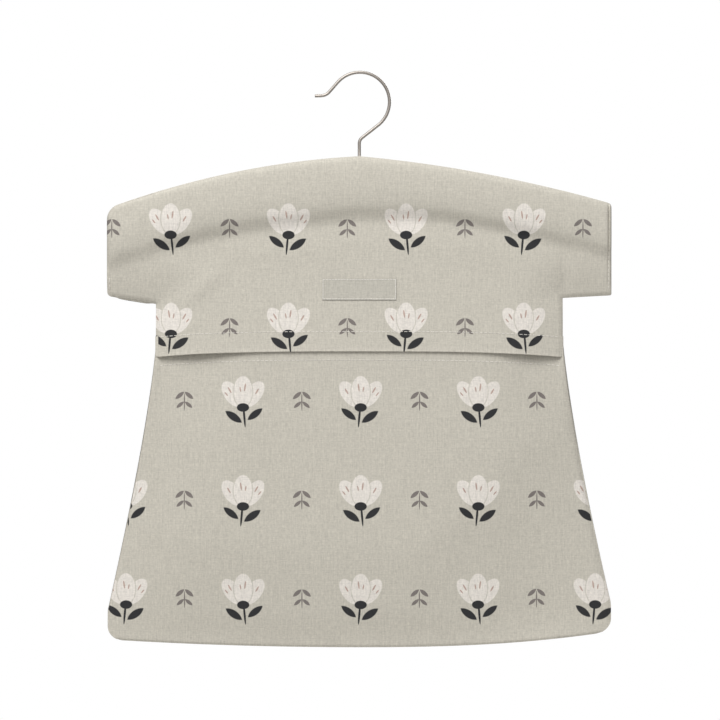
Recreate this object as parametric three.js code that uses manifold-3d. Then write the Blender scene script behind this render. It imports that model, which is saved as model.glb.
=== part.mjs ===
import * as THREE from 'three';
import { mergeGeometries, mergeVertices } from 'three/addons/utils/BufferGeometryUtils.js';
import Module from 'manifold-3d';

// Millimetres. +Z is up and the front of the bag faces -Y. The origin is where a line bears
// on the inside of the hook.

// Cloth and fits
const CLOTH = 1.0;
const CLEARANCE = 0.3;
const THREAD_DIAMETER = 0.6;

// Outline of the bag
const NECK_DROP = 62.1;
const CUFF_SPAN = 378;
const NECK_SLOPE = 0.06;
const SHOULDER_DROP = 38.0;
const CUFF_HEIGHT = 66.5;
const CUFF_CORNER = 8;
const UNDERARM_DROP = 5;
const BODY_WIDTH = 305;
const BAG_LENGTH = 367.5;
const HEM_WIDTH = 381.5;
const FLARE_SLOPE = 0.13;
const HEM_SAG = 6;
const HEM_CORNER = 12;

// Mouth
const MOUTH_DROP = 146.2;
const MOUTH_ARCH = 4.3;
const MOUTH_LAP = 8;
const MOUTH_GAP = 6.5;
const YOKE_HEM_DEPTH = 15;
const POCKET_HEM_DEPTH = 15;
const HEM_END_INSET = 13;
const FOLD_DROP = 66;
const SEAM_STRIP = 3;

// Fullness of the cloth, front to back
const BACK_SLACK = 1;
const BAND_CROWN = 1.2;
const VALLEY_Y = -3;
const VALLEY_WIDTH = 14;
const YOKE_HEM_Y = -11;
const BELLY_Y = -11;
const RIM_Y = 4;
const TOP_RIM_RISE = 4;
const SLEEVE_TAPER = 38;
const SIDE_TAPER = 62;
const CUFF_TAPER = 9;
const BOTTOM_TAPER = 75;
const BELLY_DROP = 70;
const SHOULDER_SEAM_Y = -3;

// Label
const LABEL_WIDTH = 55.5;
const LABEL_HEIGHT = 16;
const LABEL_DROP = 99.5;
const LABEL_THICKNESS = 0.6;
const LABEL_STITCH_INSET = 1.4;

// Hanger
const BAR_THICKNESS = 12;
const BAR_HEIGHT = 32;
const BAR_END_GAP = 13;
const BAR_EDGE = 3.5;
const BAR_END_ROUND = 9;

// Hook
const WIRE_DIAMETER = 2.2;
const LOOP_RADIUS = 22.8;
const LOOP_END_ANGLE = 142;
const NECK_ANGLE = -56;
const TIP_RUN = 8.5;
const TIP_LENGTH = 9;
const BEND_RADIUS = 4.5;
const COUNTERBORE_DEPTH = 6;
const WASHER_DIAMETER = 8;
const WASHER_THICKNESS = 1;
const HEAD_DIAMETER = 5;
const HEAD_HEIGHT = 1.8;
const HOOK_HOLE = 6;

const wasm = await Module();
wasm.setup();
const { Manifold, Mesh } = wasm;

// Solids and cutters

const toSolid = (geometry) => {
  const bare = geometry.clone();
  for (const name of Object.keys(bare.attributes)) {
    if (name !== 'position') {
      bare.deleteAttribute(name);
    }
  }
  const welded = mergeVertices(bare, 1e-4);
  return new Manifold(new Mesh({
    numProp: 3,
    vertProperties: new Float32Array(welded.attributes.position.array),
    triVerts: new Uint32Array(welded.index.array),
  }));
};

const toGeometry = (solid) => {
  const mesh = solid.getMesh();
  const geometry = new THREE.BufferGeometry();
  geometry.setAttribute('position', new THREE.BufferAttribute(mesh.vertProperties, 3));
  geometry.setIndex(new THREE.BufferAttribute(mesh.triVerts, 1));
  geometry.computeVertexNormals();
  return geometry;
};

// A shape drawn in X and Z, given depth from one Y to another.
const slab = (shape, yFront, yBack, curveSegments = 12) => {
  const geometry = new THREE.ExtrudeGeometry(shape, {
    depth: yBack - yFront,
    bevelEnabled: false,
    curveSegments,
  });
  geometry.rotateX(Math.PI / 2);
  geometry.translate(0, yBack, 0);
  return toSolid(geometry);
};

const block = (xs, ys, zs) => {
  const geometry = new THREE.BoxGeometry(xs[1] - xs[0], ys[1] - ys[0], zs[1] - zs[0]);
  geometry.translate((xs[0] + xs[1]) / 2, (ys[0] + ys[1]) / 2, (zs[0] + zs[1]) / 2);
  return toSolid(geometry);
};

const post = (radius, zLow, zHigh, segments) => {
  const geometry = new THREE.CylinderGeometry(radius, radius, zHigh - zLow, segments);
  geometry.rotateX(Math.PI / 2);
  geometry.translate(0, 0, (zLow + zHigh) / 2);
  return toSolid(geometry);
};

// Outline of the bag, as seen from the front

const cuffHalf = CUFF_SPAN / 2;
const bodyHalf = BODY_WIDTH / 2;
const hemHalf = HEM_WIDTH / 2;
const neckZ = -NECK_DROP;
const cuffZ = neckZ - SHOULDER_DROP - CUFF_HEIGHT;
const underarmZ = cuffZ - UNDERARM_DROP;
const mouthZ = neckZ - MOUTH_DROP;
const lowZ = neckZ - BAG_LENGTH;
const lowSideZ = lowZ + HEM_SAG;
const shoulderBend = (SHOULDER_DROP - NECK_SLOPE * cuffHalf) / cuffHalf ** 2;
const flareLength = mouthZ - lowSideZ;
const flareBend = (hemHalf - bodyHalf - FLARE_SLOPE * flareLength) / flareLength ** 2;

const shoulderZ = (x) => neckZ - NECK_SLOPE * Math.abs(x) - shoulderBend * x * x;

const roundOff = (gap, radius) => {
  const t = Math.min(Math.max(1 - gap / radius, 0), 1);
  return radius * (1 - Math.sqrt(1 - t * t));
};

const topZ = (x) => shoulderZ(x) - roundOff(cuffHalf - Math.abs(x), CUFF_CORNER);

const sleeveZ = (x) => {
  const t = (Math.abs(x) - bodyHalf) / (cuffHalf - bodyHalf);
  return underarmZ + (cuffZ - underarmZ) * Math.max(t, 0);
};

const sideX = (z) => {
  const d = Math.max(mouthZ - z, 0);
  return bodyHalf + FLARE_SLOPE * d + flareBend * d * d;
};

const bottomZ = (x) => lowZ + HEM_SAG * Math.min(Math.abs(x) / hemHalf, 1) ** 3;

const mouthEdgeZ = (x) => mouthZ - MOUTH_ARCH * Math.min(Math.abs(x) / bodyHalf, 1) ** 3;

const backInnerY = BAR_THICKNESS / 2 + BACK_SLACK;
const backOuterY = backInnerY + CLOTH;
const bandY = -(BAR_THICKNESS / 2 + CLEARANCE + CLOTH) - CLEARANCE;
const seatDrop = CLOTH + CLEARANCE;
const bandDrop = seatDrop + BAR_HEIGHT - 2;
const lipY = YOKE_HEM_Y + 2 * CLOTH + CLEARANCE + MOUTH_GAP;
const lipZ = mouthZ + MOUTH_LAP;
const foldZ = neckZ - FOLD_DROP;

const smooth = (t) => {
  const k = Math.min(Math.max(t, 0), 1);
  return k * k * (3 - 2 * k);
};

const taper = (gap, width) => {
  const t = 1 - Math.min(Math.max(gap / width, 0), 1);
  return 1 - t * t;
};

// How full the cloth is at a point: 0 on the seam line, 1 well inside it.
const fullness = (x, z) => {
  const across = Math.abs(x);
  const width = SLEEVE_TAPER + (SIDE_TAPER - SLEEVE_TAPER) * smooth((foldZ - z) / (foldZ - mouthZ));
  if (z > underarmZ) {
    const up = z - sleeveZ(x);
    const gap = across > bodyHalf ? up : Math.hypot(up, bodyHalf - across);
    return taper(gap, width) * taper(cuffHalf - across, CUFF_TAPER);
  }
  return taper(sideX(z) - across, width) * taper(z - bottomZ(x), BOTTOM_TAPER);
};

// Front face of the yoke: over the hanger bar, into the valley below it, then out to the hem.
const yokeY = (x, z) => {
  const drop = topZ(x) - z;
  const crown = BAND_CROWN * Math.sin(Math.PI * Math.min(Math.max(drop / bandDrop, 0), 1));
  const valley = (VALLEY_Y - bandY) * smooth((drop - bandDrop) / VALLEY_WIDTH);
  const valleyZ = neckZ - bandDrop - VALLEY_WIDTH;
  const out = Math.min(Math.max((valleyZ - z) / (valleyZ - mouthZ), 0), 1);
  const level = bandY - crown + valley + (YOKE_HEM_Y - VALLEY_Y) * out;
  const round = TOP_RIM_RISE * roundOff(drop, 1.25 * TOP_RIM_RISE) / (1.25 * TOP_RIM_RISE);
  return RIM_Y + (level + round - RIM_Y) * fullness(x, z);
};

// Front face of the pocket: tucked in at its lip, fullest at the belly.
const pocketY = (x, z) => {
  const level = lipY + (BELLY_Y - lipY) * smooth((lipZ - z) / BELLY_DROP);
  return RIM_Y + (level - RIM_Y) * fullness(x, z);
};

// Cloth layers. A pillow is the bag's outline drawn in by an inset, with a formed front face
// and a flat back face. A layer of cloth is one pillow less the next one inside it.

const SLEEVE_SHARES = [0.4, 0.72, 0.86, 0.93, 0.975, 1];
const BODY_SHARES = [0.25, 0.5, 0.7, 0.8, 0.88, 0.94, 0.98, 1];
const BAND_DROPS = [0, 0.5, 1.6, 3.4, 6, 12, 20, 27, 32, 36, 40, 45, 50];
const UNDER_SHARES = [0.35, 0.7, 1];
const BODY_DROPS = [0, 0.07, 0.145, 0.16, 0.24, 0.33, 0.43, 0.55, 0.67, 0.78, 0.87, 0.93, 0.96, 0.98, 0.993, 1];

// Columns across the bag: up to 1 they are shares of the body's half width, and the part over 1
// is the share of the way along a sleeve.
const bothSides = (shares) => [...shares.map((share) => -share).reverse(), 0, ...shares];
const bodyColumns = bothSides(BODY_SHARES);
const allColumns = bothSides([...BODY_SHARES, ...SLEEVE_SHARES.map((share) => 1 + share)]);

const patch = (columns, rows, place) => {
  const geometry = new THREE.PlaneGeometry(1, 1, columns.length - 1, rows - 1);
  geometry.deleteAttribute('normal');
  geometry.deleteAttribute('uv');
  const position = geometry.attributes.position;
  for (let i = 0; i < position.count; i += 1) {
    const [x, z] = place(Math.floor(i / columns.length), columns[i % columns.length]);
    position.setXYZ(i, x, 0, z);
  }
  return geometry;
};

// The outline as one flat sheet in X and Z: the shoulders with both sleeves, then the body.
const outlineSheet = (inset) => {
  const innerHalf = bodyHalf - inset;
  const outerHalf = cuffHalf - inset;
  const innerUnderZ = underarmZ + inset;
  const sideLowZ = lowSideZ + inset;
  const cornerRadius = Math.max(HEM_CORNER - inset, 0.5);
  const deepest = BAND_DROPS[BAND_DROPS.length - 1];

  const shoulders = patch(allColumns, BAND_DROPS.length + UNDER_SHARES.length, (row, column) => {
    const sleeve = Math.max(Math.abs(column) - 1, 0);
    const reach = Math.min(Math.abs(column), 1) * innerHalf + sleeve * (outerHalf - innerHalf);
    const x = Math.sign(column) * reach;
    const high = topZ(x * cuffHalf / outerHalf) - inset;
    const low = sleeve > 0 ? sleeveZ(x) + inset : innerUnderZ;
    const scale = Math.min(1, 0.85 * (high - low) / deepest);
    if (row < BAND_DROPS.length) {
      return [x, high - BAND_DROPS[row] * scale];
    }
    const from = high - deepest * scale;
    return [x, from + (low - from) * UNDER_SHARES[row - BAND_DROPS.length]];
  });

  const body = patch(bodyColumns, BODY_DROPS.length, (row, column) => {
    const sideZ = innerUnderZ + (sideLowZ - innerUnderZ) * BODY_DROPS[row];
    const half = sideX(sideZ) - inset - roundOff(sideZ - sideLowZ, cornerRadius);
    const x = column * half;
    return [x, innerUnderZ + (bottomZ(x) + inset - innerUnderZ) * BODY_DROPS[row]];
  });

  return mergeVertices(mergeGeometries([shoulders, body]), 1e-3);
};

const pillow = (inset, front, back) => {
  const sheet = outlineSheet(inset);
  const position = sheet.attributes.position;
  const count = position.count;
  const vertices = new Float32Array(6 * count);
  for (let i = 0; i < count; i += 1) {
    const x = position.getX(i);
    const z = position.getZ(i);
    vertices.set([x, Math.min(front(x, z) + inset, back - 0.2), z], 3 * i);
    vertices.set([x, back, z], 3 * (count + i));
  }
  const triangles = [];
  const edges = new Map();
  const faces = sheet.index.array;
  for (let i = 0; i < faces.length; i += 3) {
    const [a, b, c] = faces.slice(i, i + 3);
    triangles.push(a, b, c, count + a, count + c, count + b);
    for (const [p, q] of [[a, b], [b, c], [c, a]]) {
      edges.set(p + ':' + q, [p, q]);
    }
  }
  for (const [p, q] of edges.values()) {
    if (!edges.has(q + ':' + p)) {
      triangles.push(q, p, count + p, q, count + p, count + q);
    }
  }
  return new Manifold(new Mesh({
    numProp: 3,
    vertProperties: vertices,
    triVerts: new Uint32Array(triangles),
  }));
};

const frontBackY = backInnerY - CLEARANCE / 2 - CLEARANCE;
const wide = 2 * cuffHalf;

const layer = (front, near, far) =>
  pillow(near, front, frontBackY).subtract(pillow(far, front, backOuterY + 5));

// Region between the two given edges, in X and Z.
const region = (half, highEdge, lowEdge) => {
  const shape = new THREE.Shape();
  const steps = 24;
  shape.moveTo(-half, highEdge(-half));
  for (let i = 0; i <= steps; i += 1) {
    const x = -half + 2 * half * i / steps;
    shape.lineTo(x, lowEdge(x));
  }
  for (let i = 0; i <= steps; i += 1) {
    const x = half - 2 * half * i / steps;
    shape.lineTo(x, highEdge(x));
  }
  return slab(shape, -200, 200);
};

// Back panel with the strip that folds over the hanger to the shoulder seam

const wrapHalf = cuffHalf - CUFF_CORNER - BAR_EDGE;
const wrapZone = (grow) => region(wrapHalf + grow, (x) => topZ(x) + 5, (x) => topZ(x) - CLOTH - grow - 0.2)
  .intersect(block([-wide, wide], [SHOULDER_SEAM_Y - grow, 100], [lowZ - 50, 50]));
const backZone = (grow) => block([-wide, wide], [backInnerY - CLEARANCE / 2 - grow, 100], [lowZ - 50, 50])
  .add(wrapZone(grow));

const wholeCloth = pillow(0, yokeY, backOuterY).subtract(pillow(CLOTH, yokeY, backInnerY));
const hookHole = post(HOOK_HOLE / 2, neckZ - 10, neckZ + 10, 20);
const backPanel = wholeCloth.intersect(backZone(0)).subtract(hookHole);

// Yoke, with a flap below the fold line that lifts to open the mouth

const flapHalf = bodyHalf - SEAM_STRIP;
const frontCloth = wholeCloth.subtract(backZone(CLEARANCE)).subtract(hookHole);
const aboveMouth = region(wide, () => 100, mouthEdgeZ);
const flapZone = (grow) => region(flapHalf + grow, () => foldZ + grow, () => lowZ - 50);
const yokeCloth = frontCloth.intersect(aboveMouth);
const frontYoke = yokeCloth.subtract(flapZone(CLEARANCE / 2));
const yokeFlap = yokeCloth.intersect(flapZone(-CLEARANCE / 2));

// Turned hem inside the flap

const hemHalfLength = bodyHalf - HEM_END_INSET;
const hemNear = CLOTH + CLEARANCE;
const hemFar = hemNear + CLOTH;
const yokeHem = layer(yokeY, hemNear, hemFar)
  .intersect(region(hemHalfLength, (x) => mouthEdgeZ(x) + YOKE_HEM_DEPTH, mouthEdgeZ));

// Pocket panel with its lip tucked behind the yoke, and its turned hem

const pocketZone = region(wide, (x) => mouthEdgeZ(x) - CLEARANCE - 0.1, () => lowZ - 50)
  .add(region(hemHalfLength, () => lipZ, () => mouthZ - 3 * MOUTH_ARCH));
const pocketPanel = layer(pocketY, 0, CLOTH).intersect(pocketZone);
const pocketHem = layer(pocketY, hemNear, hemFar)
  .intersect(region(hemHalfLength, () => lipZ, () => lipZ - POCKET_HEM_DEPTH));

// Threads

const threadRadius = THREAD_DIAMETER / 2;
const threadGap = CLEARANCE + 0.2;

// A path with a section at each of the given points.
class Run extends THREE.Curve {
  constructor(points) {
    super();
    this.points = points;
  }

  getSpacedPoints() {
    return this.points.map((point) => point.clone());
  }

  getTangentAt(u, target = new THREE.Vector3()) {
    const last = this.points.length - 1;
    const i = Math.round(u * last);
    const from = this.points[Math.max(i - 1, 0)];
    const to = this.points[Math.min(i + 1, last)];
    return target.copy(to).sub(from).normalize();
  }
}

const tube = (points, radius, sides) => {
  const ring = new THREE.Shape();
  ring.absarc(0, 0, radius, 0, 2 * Math.PI);
  return toSolid(new THREE.ExtrudeGeometry(ring, {
    extrudePath: new Run(points),
    steps: points.length - 1,
    curveSegments: sides / 2,
  }));
};

// A row of stitches that lies on the front of a cloth, as one run of thread.
const stitchRow = (front, edge, half) => {
  const points = [];
  const steps = 40;
  for (let i = 0; i <= steps; i += 1) {
    const x = -half + 2 * half * i / steps;
    const z = edge(x);
    points.push(new THREE.Vector3(x, front(x, z) - threadGap - threadRadius, z));
  }
  return tube(points, threadRadius, 6);
};

const yokeHemThread = stitchRow(yokeY, (x) => mouthEdgeZ(x) + YOKE_HEM_DEPTH, flapHalf - 2);
const pocketHemThread = stitchRow(pocketY, () => lipZ - POCKET_HEM_DEPTH, bodyHalf - 4);

// Seam thread: from one side of the hook's hole round the whole bag to the other side.
const seamInset = 2 * CLOTH + CLEARANCE;
const seamY = backInnerY - CLEARANCE - threadRadius;
const seamPoints = [];
const seamStart = HOOK_HOLE / 2 + 2;
const seamCuffX = cuffHalf - seamInset;
const seamRound = CUFF_CORNER;
for (let i = 0; i <= 14; i += 1) {
  const x = seamStart + (seamCuffX - seamRound - seamStart) * i / 14;
  seamPoints.push([x, shoulderZ(x) - seamInset]);
}
seamPoints.push([seamCuffX - 0.3 * seamRound, shoulderZ(seamCuffX) - seamInset - 0.3 * seamRound]);
seamPoints.push([seamCuffX, shoulderZ(seamCuffX) - seamInset - 1.1 * seamRound]);
seamPoints.push([seamCuffX, (shoulderZ(seamCuffX) + cuffZ) / 2]);
seamPoints.push([seamCuffX, cuffZ + seamInset + 5]);
seamPoints.push([seamCuffX - 1.2, cuffZ + seamInset + 1.2]);
seamPoints.push([seamCuffX - 5, sleeveZ(seamCuffX - 5) + seamInset]);
seamPoints.push([bodyHalf + 1, sleeveZ(bodyHalf + 1) + seamInset]);
seamPoints.push([bodyHalf - 0.75 * seamInset, underarmZ + 0.75 * seamInset]);
seamPoints.push([bodyHalf - seamInset, underarmZ - 1]);
for (let i = 1; i <= 10; i += 1) {
  const z = underarmZ - 1 + (lowSideZ + HEM_CORNER + 2 - underarmZ + 1) * i / 10;
  seamPoints.push([sideX(z) - seamInset, z]);
}
seamPoints.push([hemHalf - seamInset - 0.35 * HEM_CORNER, lowSideZ + seamInset + 0.35 * HEM_CORNER]);
for (let i = 0; i <= 8; i += 1) {
  const x = (hemHalf - HEM_CORNER - seamInset - 3) * (1 - i / 8);
  seamPoints.push([x, bottomZ(x) + seamInset]);
}
const seamRight = seamPoints.map(([x, z]) => new THREE.Vector3(x, seamY, z));
const seamLeft = seamRight.slice(0, -1).map((p) => new THREE.Vector3(-p.x, p.y, p.z)).reverse();
const seamThread = tube([...seamRight, ...seamLeft], threadRadius, 4);

// Label, lying on the sloping middle of the flap

const labelZ = neckZ - LABEL_DROP;
const labelRise = 1;
const labelSlope = (yokeY(0, labelZ + labelRise) - yokeY(0, labelZ - labelRise)) / (2 * labelRise);
const labelTilt = -Math.atan(labelSlope);

const onFlap = (geometry) => {
  geometry.rotateX(labelTilt);
  geometry.translate(0, yokeY(0, labelZ), labelZ);
  return geometry;
};

const frame = (width, height, hole) => {
  const shape = new THREE.Shape();
  shape.moveTo(-width / 2, -height / 2);
  shape.lineTo(width / 2, -height / 2);
  shape.lineTo(width / 2, height / 2);
  shape.lineTo(-width / 2, height / 2);
  if (hole) {
    const inner = new THREE.Path();
    inner.moveTo(-width / 2 + hole, -height / 2 + hole);
    inner.lineTo(-width / 2 + hole, height / 2 - hole);
    inner.lineTo(width / 2 - hole, height / 2 - hole);
    inner.lineTo(width / 2 - hole, -height / 2 + hole);
    shape.holes.push(inner);
  }
  return shape;
};

const plate = (shape, thickness, near) => {
  const geometry = new THREE.ExtrudeGeometry(shape, { depth: thickness, bevelEnabled: false });
  geometry.rotateX(Math.PI / 2);
  geometry.translate(0, -near, 0);
  return toSolid(onFlap(geometry));
};

const label = plate(frame(LABEL_WIDTH, LABEL_HEIGHT, 0), LABEL_THICKNESS, CLEARANCE);
const labelThread = plate(
  frame(LABEL_WIDTH - 2 * LABEL_STITCH_INSET, LABEL_HEIGHT - 2 * LABEL_STITCH_INSET, THREAD_DIAMETER),
  threadRadius,
  CLEARANCE + LABEL_THICKNESS + CLEARANCE,
);

// Hanger bar: a flat curved board with rounded edges, bored for the hook

const barHalf = cuffHalf - BAR_END_GAP;
const barTop = (x) => shoulderZ(x) - seatDrop;
const barShape = new THREE.Shape();
const barControl = (to, drop) => [to / 2, barTop(0) - drop - NECK_SLOPE * Math.abs(to) / 2];
const barFlat = barHalf - BAR_END_ROUND;
barShape.moveTo(0, barTop(0));
barShape.quadraticCurveTo(...barControl(barFlat, 0), barFlat, barTop(barFlat));
barShape.quadraticCurveTo(barHalf, barTop(barHalf), barHalf, barTop(barHalf) - BAR_END_ROUND);
barShape.lineTo(barHalf, barTop(barHalf) - BAR_HEIGHT + BAR_END_ROUND);
barShape.quadraticCurveTo(barHalf, barTop(barHalf) - BAR_HEIGHT, barFlat, barTop(barFlat) - BAR_HEIGHT);
barShape.quadraticCurveTo(...barControl(barFlat, BAR_HEIGHT), 0, barTop(0) - BAR_HEIGHT);
barShape.quadraticCurveTo(...barControl(-barFlat, BAR_HEIGHT), -barFlat, barTop(barFlat) - BAR_HEIGHT);
barShape.quadraticCurveTo(-barHalf, barTop(barHalf) - BAR_HEIGHT,
  -barHalf, barTop(barHalf) - BAR_HEIGHT + BAR_END_ROUND);
barShape.lineTo(-barHalf, barTop(barHalf) - BAR_END_ROUND);
barShape.quadraticCurveTo(-barHalf, barTop(barHalf), -barFlat, barTop(barFlat));
barShape.quadraticCurveTo(...barControl(-barFlat, 0), 0, barTop(0));

const barGeometry = new THREE.ExtrudeGeometry(barShape, {
  depth: BAR_THICKNESS - 2 * BAR_EDGE,
  bevelEnabled: true,
  bevelThickness: BAR_EDGE,
  bevelSize: BAR_EDGE,
  bevelOffset: -BAR_EDGE,
  bevelSegments: 2,
  curveSegments: 8,
});
barGeometry.rotateX(Math.PI / 2);
barGeometry.translate(0, BAR_THICKNESS / 2 - BAR_EDGE, 0);

const wireRadius = WIRE_DIAMETER / 2;
const boreRadius = wireRadius + CLEARANCE;
const barLowZ = barTop(0) - BAR_HEIGHT;
const ledgeZ = barLowZ + COUNTERBORE_DEPTH;
const counterboreRadius = WASHER_DIAMETER / 2 + 2 * CLEARANCE;
const hangerBar = toSolid(barGeometry)
  .subtract(post(boreRadius, barLowZ - 10, barTop(0) + 10, 20))
  .subtract(post(counterboreRadius, barLowZ - 10, ledgeZ, 24));

// Washer under the ledge of the bar, and the hook that hangs the bar on its head

const washerTopZ = ledgeZ - CLEARANCE;
const headTopZ = washerTopZ - WASHER_THICKNESS - CLEARANCE;
const washer = post(WASHER_DIAMETER / 2, washerTopZ - WASHER_THICKNESS, washerTopZ, 24)
  .subtract(post(boreRadius, washerTopZ - 10, washerTopZ + 10, 20));

const radians = Math.PI / 180;
const loopZ = -(LOOP_RADIUS - wireRadius);
const onLoop = (angle) => new THREE.Vector2(
  LOOP_RADIUS * Math.cos(angle * radians),
  loopZ + LOOP_RADIUS * Math.sin(angle * radians),
);
const neckEnd = onLoop(NECK_ANGLE);
const neckCross = neckEnd.y - neckEnd.x / Math.tan(-NECK_ANGLE * radians);
const tipStart = onLoop(LOOP_END_ANGLE);
const tipWay = new THREE.Vector2(-Math.sin(LOOP_END_ANGLE * radians), Math.cos(LOOP_END_ANGLE * radians));
const tipBend = tipStart.clone().addScaledVector(tipWay, TIP_RUN);
const tipEnd = new THREE.Vector2(tipBend.x - TIP_LENGTH, tipBend.y - 0.4);

const neck = new THREE.Vector2(0, neckCross);
const stemLow = new THREE.Vector2(0, headTopZ - HEAD_HEIGHT / 2);
const toward = (from, to, run) => from.clone().add(to.clone().sub(from).setLength(run));
const bend = (from, corner, to) => new THREE.QuadraticBezierCurve(
  toward(corner, from, BEND_RADIUS),
  corner,
  toward(corner, to, BEND_RADIUS),
).getPoints(6);
const loopSteps = 36;
const loop = Array.from({ length: loopSteps + 1 }, (_, i) =>
  onLoop(NECK_ANGLE + (LOOP_END_ANGLE - NECK_ANGLE) * i / loopSteps));
const wirePoints = [
  stemLow,
  ...bend(stemLow, neck, neckEnd),
  ...loop,
  ...bend(tipStart, tipBend, tipEnd),
  tipEnd,
].map((v) => new THREE.Vector3(v.x, 0, v.y));
const hook = tube(wirePoints, wireRadius, 10)
  .add(post(HEAD_DIAMETER / 2, headTopZ - HEAD_HEIGHT, headTopZ, 20));

// Assembly

const printed = () => new THREE.MeshStandardMaterial({ color: '#bdb7ac', roughness: 0.95, metalness: 0 });
const thread = () => new THREE.MeshStandardMaterial({ color: '#e6e2da', roughness: 0.9, metalness: 0 });
const tape = () => new THREE.MeshStandardMaterial({ color: '#c3bcb0', roughness: 0.95, metalness: 0 });
const beech = () => new THREE.MeshStandardMaterial({ color: '#c79f70', roughness: 0.55, metalness: 0 });
const steel = () => new THREE.MeshStandardMaterial({ color: '#a9a59e', roughness: 0.3, metalness: 1 });

const part = new THREE.Group();
part.name = 'peg_bag';

const add = (name, solid, material) => {
  const mesh = new THREE.Mesh(toGeometry(solid), material);
  mesh.name = name;
  part.add(mesh);
};

add('hook', hook, steel());
add('hook_washer', washer, steel());
add('hanger_bar', hangerBar, beech());
add('back_panel', backPanel, printed());
add('front_yoke', frontYoke, printed());
add('yoke_flap', yokeFlap, printed());
add('yoke_hem', yokeHem, printed());
add('pocket_panel', pocketPanel, printed());
add('pocket_hem', pocketHem, printed());
add('label', label, tape());
add('label_thread', labelThread, thread());
add('yoke_hem_thread', yokeHemThread, thread());
add('pocket_hem_thread', pocketHemThread, thread());
add('seam_thread', seamThread, thread());

export default part;
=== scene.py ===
from math import cos, exp, hypot, pi, radians, sin, sqrt, tan

import bmesh
import bpy
from mathutils import Matrix, Vector, noise


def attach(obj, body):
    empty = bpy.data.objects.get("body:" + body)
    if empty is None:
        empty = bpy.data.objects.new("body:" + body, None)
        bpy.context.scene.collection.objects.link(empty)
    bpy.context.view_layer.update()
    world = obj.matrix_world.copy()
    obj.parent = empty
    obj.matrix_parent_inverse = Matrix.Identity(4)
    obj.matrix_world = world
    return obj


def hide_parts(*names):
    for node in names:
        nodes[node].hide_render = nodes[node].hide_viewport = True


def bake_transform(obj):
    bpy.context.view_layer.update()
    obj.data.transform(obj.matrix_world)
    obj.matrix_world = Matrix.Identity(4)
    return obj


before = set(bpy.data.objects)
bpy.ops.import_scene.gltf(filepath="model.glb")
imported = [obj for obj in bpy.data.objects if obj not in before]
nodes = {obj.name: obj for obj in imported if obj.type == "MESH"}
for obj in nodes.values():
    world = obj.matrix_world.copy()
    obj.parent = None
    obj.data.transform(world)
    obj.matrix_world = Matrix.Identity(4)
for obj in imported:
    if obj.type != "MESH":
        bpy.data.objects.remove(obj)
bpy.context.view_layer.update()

# Hook: one bent zinc-plated wire with an open loop, a kinked neck over the swivel axis
# and a peened head that carries the hanger. Lengths in all sections are in millimetres:
# y runs to the back from the middle of the hanger, z up from the inside of the loop.
WIRE, WIRE_SIDES = 2.4, 4
LOOP_RADIUS = 22.2
LOOP_CENTRE = Vector((0.4, -20.9))
LOOP_START, LOOP_END = -52, 139
LOOP_STEPS, BEND_STEPS = 72, 6
NECK_BEND, TIP_BEND = 2.8, 3.6
TIP_RUN = 13
TIP = Vector((-8, -0.3))
TIP_END, TIP_SHARE = Vector((-0.5, -0.02)), 0.75
HEAD_TOP, HEAD_LOW, HEAD = -91.0, -92.8, 5.0
HEAD_EDGE, HEAD_SHARE = 0.3, 0.8


def linear(colour):
    parts = [int(colour[i : i + 2], 16) / 255 for i in (1, 3, 5)]
    return [c / 12.92 if c <= 0.04045 else ((c + 0.055) / 1.055) ** 2.4 for c in parts] + [1]


def add(tree, kind, inputs=(), **settings):
    made = tree.nodes.new("ShaderNode" + kind)
    for key, value in settings.items():
        setattr(made, key, value)
    for key, value in dict(inputs).items():
        if isinstance(value, bpy.types.NodeSocket):
            tree.links.new(value, made.inputs[key])
        else:
            made.inputs[key].default_value = value
    return made


def per_metre(*sizes):
    return [1000 / size for size in sizes]


def material(name, colour, roughness, **sockets):
    made = bpy.data.materials.new(name)
    made.use_nodes = True
    shader = made.node_tree.nodes["Principled BSDF"]
    shader.inputs["Base Color"].default_value = linear(colour)
    shader.inputs["Roughness"].default_value = roughness
    for key, value in sockets.items():
        shader.inputs[key.replace("_", " ")].default_value = value
    return made, made.node_tree, shader


def shown(name, data):
    made = bpy.data.objects.new(name, data)
    bpy.context.collection.objects.link(made)
    return made


def strands(name, thick, sides, runs):
    curve = bpy.data.curves.new(name, "CURVE")
    curve.dimensions = "3D"
    curve.bevel_depth = thick / 2000
    curve.bevel_resolution = sides
    for run in runs:
        line = curve.splines.new("POLY")
        line.points.add(len(run) - 1)
        for point, (place, share) in zip(line.points, run):
            point.co = (*(place / 1000), 1)
            point.radius = share
        line.use_smooth = True
    return curve


def on_loop(angle):
    return LOOP_CENTRE + LOOP_RADIUS * Vector((cos(radians(angle)), sin(radians(angle))))


def bend(start, middle, end, reach):
    a = middle + (start - middle).normalized() * reach
    b = middle + (end - middle).normalized() * reach
    steps = [t / BEND_STEPS for t in range(BEND_STEPS + 1)]
    return [a.lerp(middle, t).lerp(middle.lerp(b, t), t) for t in steps]


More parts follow.
